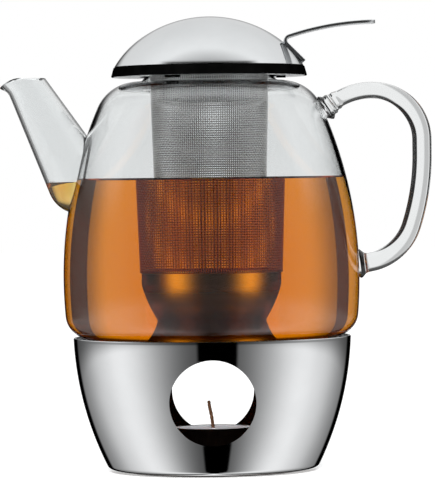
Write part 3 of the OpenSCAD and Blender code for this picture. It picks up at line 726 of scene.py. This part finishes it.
def strip(name, route, thick, width, tip_r, soft=0.6):
    """A bent strip along a route in the X-Z plane, with rounded edges and a rounded tip."""
    half = thick / 2 - soft
    verts, n = [], 6
    gone = [0.0]
    for p, q in zip(route, route[1:]):
        gone.append(gone[-1] + math.dist(p[:2], q[:2]))
    for (x, z, h), d in zip(route, gone):
        back = max(tip_r - (gone[-1] - d), 0.0)
        wide = width / 2 - tip_r + math.sqrt(tip_r ** 2 - back ** 2) - soft
        nx, nz = -math.sin(math.radians(h)), math.cos(math.radians(h))
        for k, (sy, sn) in enumerate(((1, 1), (-1, 1), (-1, -1), (1, -1))):
            for i in range(n):
                a = math.radians(90 * k + 90 * i / (n - 1))
                y, up = sy * wide + soft * math.cos(a), sn * half + soft * math.sin(a)
                verts.append((x + up * nx, y, z + up * nz))
    m, row = len(route), 4 * n
    faces = [(i * row + j, i * row + (j + 1) % row, (i + 1) * row + (j + 1) % row, (i + 1) * row + j)
             for i in range(m - 1) for j in range(row)]
    faces += [tuple(range(row)), tuple((m - 1) * row + j for j in range(row))]
    return make(name, verts, faces, 50.0)


lever_route = walk((DOME_R + 0.1, BAND_TOP + 2.0, 135.0), LEVER_ROUTE, close=0.5)
lever = strip("lid_lever_bent", lever_route, LEVER_T, LEVER_W, LEVER_TIP_R)
piece(lever, BRUSHED, "lid", "satin_steel", "lid_lever")

# ---------------------------------------------------------------- tealight
cup_low, cup_high = (Vector(c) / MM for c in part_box("tealight_cup"))
wax_low, wax_high = (Vector(c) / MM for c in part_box("tealight_wax"))
cup_r, wax_r, cup_top = cup_high.x, wax_high.x - 0.02, cup_high.z
cup = lathe("tealight_cup_pressed", rounded([
    (0, cup_low.z), (cup_r - 0.15, cup_low.z, 1.0), (cup_r - 0.15, cup_top - 0.9),
    (cup_r, cup_top - 0.7, 0.2), (cup_r, cup_top, 0.25), (wax_high.x, cup_top, 0.2),
    (wax_high.x, cup_low.z + 0.4, 0.6), (0, cup_low.z + 0.4)]), seg=360)
# the flutes pressed into the cup's wall
for v in cup.data.vertices:
    r, a = math.hypot(v.co.x, v.co.y), math.atan2(v.co.y, v.co.x)
    if v.co.z < (cup_top - 1.2) * MM and r > 17.6 * MM:
        v.co.xy *= 1 - 0.006 * (0.5 + 0.5 * math.cos(60 * a))
piece(cup, TIN_PAINTED_SHADE, "tealight", "tin_cup", "tealight_cup")

wax_top = wax_high.z
wax = lathe("tealight_wax_cast", [
    (0, wax_low.z + 0.6), (wax_r - 1, wax_low.z + 0.6), (wax_r, wax_low.z + 1.4), (wax_r, wax_top + 0.35),
    (wax_r - 0.4, wax_top + 0.1), (wax_r - 1.4, wax_top - 0.05), (12, wax_top - 0.15), (5, wax_top - 0.2),
    (2.4, wax_top - 0.35), (1.2, wax_top - 0.2), (0.9, wax_top + 0.1), (0, wax_top + 0.1)], sharp=60.0)
piece(wax, WAX, "tealight", "wax", "tealight_wax")

wick_route = walk((0, wax_top - 0.6, 96.0), ((0, 4.0), (60, 6), (25, -7), (0, 1.6)), close=1.0)
wick_high = Vector(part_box("tealight_wick")[1]) / MM
reach = (wick_high.z - wax_top) / (wick_route[-1][1] - wax_top)
wick_route = [(x, wax_top + (z - wax_top) * reach, h) for x, z, h in wick_route]
wick = sweep("tealight_wick_braided", [
    (x, z, h, 0.80 + 0.10 * math.sin(2.6 * i) - 0.15 * ease(i, len(wick_route) - 4, len(wick_route)))
    for i, (x, z, h) in enumerate(wick_route)], n=16)
piece(wick, WICK, "tealight", "wick", "tealight_wick")

# ---------------------------------------------------------------- finishes for the CAD nodes that stay
# the pot rest and the tealight dish take the steel with painted inner shade
for name, mat in (("foot_pad", RUBBER), ("base_plate", SHEET), ("pot_rest", INNER_PAINTED_SHADE), ("rest_pads", RUBBER),
                  ("tealight_dish", INNER_PAINTED_SHADE), ("wick_sustainer", TIN_PAINTED_SHADE), ("lid_seal", RUBBER)):
    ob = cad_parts[name]
    ob.data.materials.clear()
    ob.data.materials.append(mat)

# ---------------------------------------------------------------- studio
world = bpy.data.worlds.new("studio")
bpy.context.scene.world = world
world.use_nodes = True
nt = world.node_tree
nt.nodes.clear()


def calc(op, a, b=0.0):
    """One step of arithmetic in the world's nodes, on numbers or on other steps."""
    m = node(nt, "ShaderNodeMath", operation=op)
    for i, v in enumerate((a, b)):
        if isinstance(v, (int, float)):
            m.inputs[i].default_value = v
        else:
            nt.links.new(v, m.inputs[i])
    return m.outputs[0]


way = node(nt, "ShaderNodeTexCoord")
split = node(nt, "ShaderNodeSeparateXYZ")
nt.links.new(way.outputs["Generated"], split.inputs["Vector"])
wx, wy, wz = split.outputs
# degrees from the front of the studio, where the camera stands, and degrees above the horizon
azimuth = calc("MULTIPLY", calc("ARCTAN2", wx, calc("MULTIPLY", wy, -1.0)), 180 / math.pi)
off = calc("ABSOLUTE", azimuth)
height = calc("MULTIPLY", calc("ARCSINE", wz), 180 / math.pi)


def glow(value, centre, width):
    """A soft hump, 1 at its centre."""
    d = calc("DIVIDE", calc("SUBTRACT", value, centre), width)
    return calc("EXPONENT", calc("MULTIPLY", calc("MULTIPLY", d, d), -0.5))


def gate(value, low, high):
    """0 below low, 1 above high, smooth in between."""
    m = node(nt, "ShaderNodeMapRange", interpolation_type="SMOOTHSTEP")
    m.inputs["From Min"].default_value = low
    m.inputs["From Max"].default_value = high
    nt.links.new(value, m.inputs["Value"])
    return m.outputs["Result"]


def window(value, low, high, soft):
    """1 between low and high, 0 outside, with soft edges."""
    above = gate(value, low - soft, low + soft)
    past = gate(value, high - soft, high + soft)
    return calc("MULTIPLY", above, calc("SUBTRACT", 1.0, past))


def span(value, low, high, at_low, at_high):
    """A straight run from at_low to at_high between two values, held beyond them."""
    m = node(nt, "ShaderNodeMapRange")
    for key, v in (("From Min", low), ("From Max", high), ("To Min", at_low), ("To Max", at_high)):
        m.inputs[key].default_value = v
    nt.links.new(value, m.inputs["Value"])
    return m.outputs["Result"]


def blend_in(share, yes, no):
    """no where the share is 0, yes where it is 1."""
    m = node(nt, "ShaderNodeMix", data_type="FLOAT")
    nt.links.new(share, m.inputs["Factor"])
    for key, v in (("B", yes), ("A", no)):
        if isinstance(v, (int, float)):
            m.inputs[key].default_value = v
        else:
            nt.links.new(v, m.inputs[key])
    return m.outputs["Result"]


# what polished steel sees: a softbox on each side, a dark gap round the camera and dark cards beside
# the backdrop
boxes = calc("ADD", calc("MULTIPLY", glow(off, 84.0, 28.0), 0.92), 0.05)
boxes = calc("ADD", boxes, calc("MULTIPLY", gate(off, 96.0, 120.0), 0.12))
from_gap = calc("ABSOLUTE", calc("SUBTRACT", azimuth, 4.2))
boxes = calc("MULTIPLY", boxes, gate(from_gap, 15.0, 18.5))
boxes = calc("MULTIPLY", boxes, calc("SUBTRACT", 1.0, gate(off, 148.0, 154.0)))
boxes = calc("ADD", boxes, gate(off, 169.0, 172.0))
# a dark hood above the camera, and a pale ceiling
hood = calc("MULTIPLY", window(height, 28.0, 74.0, 4.0), calc("SUBTRACT", 1.0, gate(off, 70.0, 84.0)))
boxes = calc("MULTIPLY", boxes, calc("SUBTRACT", 1.0, calc("MULTIPLY", hood, 0.95)))
# the softboxes are weaker above the warmer, so that the glass keeps the colour of the tea
weak = calc("MULTIPLY", gate(height, -9.0, -4.0), 0.65)
boxes = calc("MULTIPLY", boxes, calc("SUBTRACT", 1.0, weak))
over = calc("MULTIPLY", gate(off, 76.0, 92.0), gate(height, 8.0, 22.0))
over = calc("MAXIMUM", over, gate(calc("ADD", wz, calc("MULTIPLY", wy, 0.34)), 0.775, 0.81))
ceiling = calc("MINIMUM", span(wy, -0.34, -0.04, 0.58, 0.98), span(wy, 0.05, 0.9, 0.98, 0.77))
glossy = blend_in(over, ceiling, boxes)
# through glass: the pale backdrop all round, with dark cards beside it and a dark ceiling
path = node(nt, "ShaderNodeLightPath")
beside = calc("SUBTRACT", 180.0, off)
far_card = window(beside, 65.0, 86.0, 2.0)
right = window(beside, 33.5, 51.5, 0.8)
right = calc("MAXIMUM", right, calc("MULTIPLY", window(beside, 28.5, 40.0, 5.5), 0.62))
left = window(beside, 34.5, 45.5, 0.8)
left = calc("MAXIMUM", left, calc("MULTIPLY", window(beside, 28.0, 40.0, 8.0), 0.70))
wide = calc("MULTIPLY", blend_in(gate(wx, -0.02, 0.02), right, left), gate(height, -19.0, -15.0))
slim = calc("MULTIPLY", calc("MAXIMUM", window(beside, 33.0, 42.5, 1.0), window(beside, 47.5, 57.5, 1.0)),
            gate(height, -9.0, -5.0))
rod = calc("MAXIMUM", window(beside, 36.0, 86.0, 2.0), calc("MULTIPLY", window(beside, 6.0, 30.0, 3.0), 0.40))
rod = blend_in(gate(wx, -0.02, 0.02), window(beside, 24.0, 88.0, 2.0), rod)
rod = calc("MULTIPLY", rod, gate(height, -52.0, -42.0))
# light that has crossed only a rod of glass has passed two surfaces, through the empty pot four, and
# through the tea five or more
depth = path.outputs["Transmission Depth"]
cards = blend_in(gate(depth, 2.2, 3.8), slim, rod)
cards = blend_in(gate(depth, 4.2, 4.8), wide, cards)
cards = calc("MAXIMUM", cards, calc("MULTIPLY", far_card, gate(height, -9.0, -5.0)))
cards = calc("MAXIMUM", cards, calc("MULTIPLY", gate(height, 20.0, 30.0), 0.95))
through = calc("SUBTRACT", 1.0, calc("MULTIPLY", cards, 0.97))


def pick(flag, yes, no):
    """One strength for the rays that a Light Path flag names, another for the rest."""
    return blend_in(path.outputs[flag], yes, no)


# the strainer's wires in the empty part of the pot also catch light that the glass spreads
airy = window(depth, 3.5, 4.5, 0.3)
glossy = blend_in(airy, calc("ADD", calc("MULTIPLY", glossy, 0.9), 0.6), glossy)
# and the strainer in the tea sees a bright narrow softbox on each side
steeped = gate(depth, 4.6, 5.4)
glossy = blend_in(steeped, calc("ADD", calc("MULTIPLY", glow(from_gap, 71.0, 17.0), 1.3), 0.015), glossy)
mirrored = calc("MINIMUM", path.outputs["Glossy Depth"], 1.0)
straight = calc("MULTIPLY", path.outputs["Is Transmission Ray"], calc("SUBTRACT", 1.0, mirrored))
level = pick("Is Glossy Ray", glossy, 0.75)
level = blend_in(straight, through, level)
level = pick("Is Camera Ray", 1.0, level)
sky = node(nt, "ShaderNodeBackground", Color=(1, 1, 1, 1))
nt.links.new(level, sky.inputs["Strength"])
sky_out = node(nt, "ShaderNodeOutputWorld")
nt.links.new(sky.outputs["Background"], sky_out.inputs["Surface"])

half, drop = 6000, -0.05
floor = make("floor", [(-half, -half, drop), (half, -half, drop), (half, half, drop), (-half, half, drop)],
             [(0, 1, 2, 3)])
m, nt, b = material("studio floor")
b.inputs["Base Color"].default_value = (0.86, 0.86, 0.86, 1)
b.inputs["Roughness"].default_value = 1.0
b.inputs["Specular IOR Level"].default_value = 0.0
b.inputs["Emission Color"].default_value = (1, 1, 1, 1)
path = node(nt, "ShaderNodeLightPath")
seen = node(nt, "ShaderNodeMath", operation="MAXIMUM")
nt.links.new(path.outputs["Is Camera Ray"], seen.inputs[0])
nt.links.new(path.outputs["Is Transmission Ray"], seen.inputs[1])
lift = node(nt, "ShaderNodeMath", operation="MULTIPLY")
lift.inputs[1].default_value = 0.45
nt.links.new(seen.outputs[0], lift.inputs[0])
nt.links.new(lift.outputs[0], b.inputs["Emission Strength"])
floor.data.materials.append(m)
floor.visible_glossy = False
floor.visible_transmission = False


def softbox(name, place, aim, size, watts):
    """An area lamp that lights the object, and isn't seen in metal or through glass."""
    data = bpy.data.lights.new(name, "AREA")
    data.shape, data.size, data.size_y, data.energy = "RECTANGLE", size[0], size[1], watts
    ob = bpy.data.objects.new(name, data)
    bpy.context.scene.collection.objects.link(ob)
    ob.location = place
    ob.rotation_euler = (Vector(aim) - Vector(place)).to_track_quat("-Z", "Y").to_euler()
    ob.visible_glossy = False
    ob.visible_transmission = False
    return ob


softbox("overhead", (-0.3, -0.3, 1.6), (0, 0, 0.1), (1.4, 1.4), 9.0)
softbox("window", (0.0, -1.2, 0.38), (0, 0, 0.02), (0.30, 0.22), 26.0)

# ---------------------------------------------------------------- camera
cam_data = bpy.data.cameras.new("camera")
cam = bpy.data.objects.new("camera", cam_data)
bpy.context.scene.collection.objects.link(cam)
bpy.context.scene.camera = cam
cam_data.sensor_width = 36.0
cam_data.lens = 276.8
cam_data.clip_start, cam_data.clip_end = 0.05, 40.0
place, aim = Vector((0.003, -1.80, 0.135)), Vector((0.003, 0.0, 0.1055))
look = (aim - place).to_track_quat("-Z", "Y").to_matrix().to_4x4()
cam.matrix_world = Matrix.Translation(place) @ look @ Matrix.Rotation(math.radians(-0.7), 4, "Z")

view = bpy.context.scene.view_settings
view.view_transform = "Standard"
cycles = bpy.context.scene.cycles
cycles.max_bounces, cycles.transmission_bounces = 24, 24
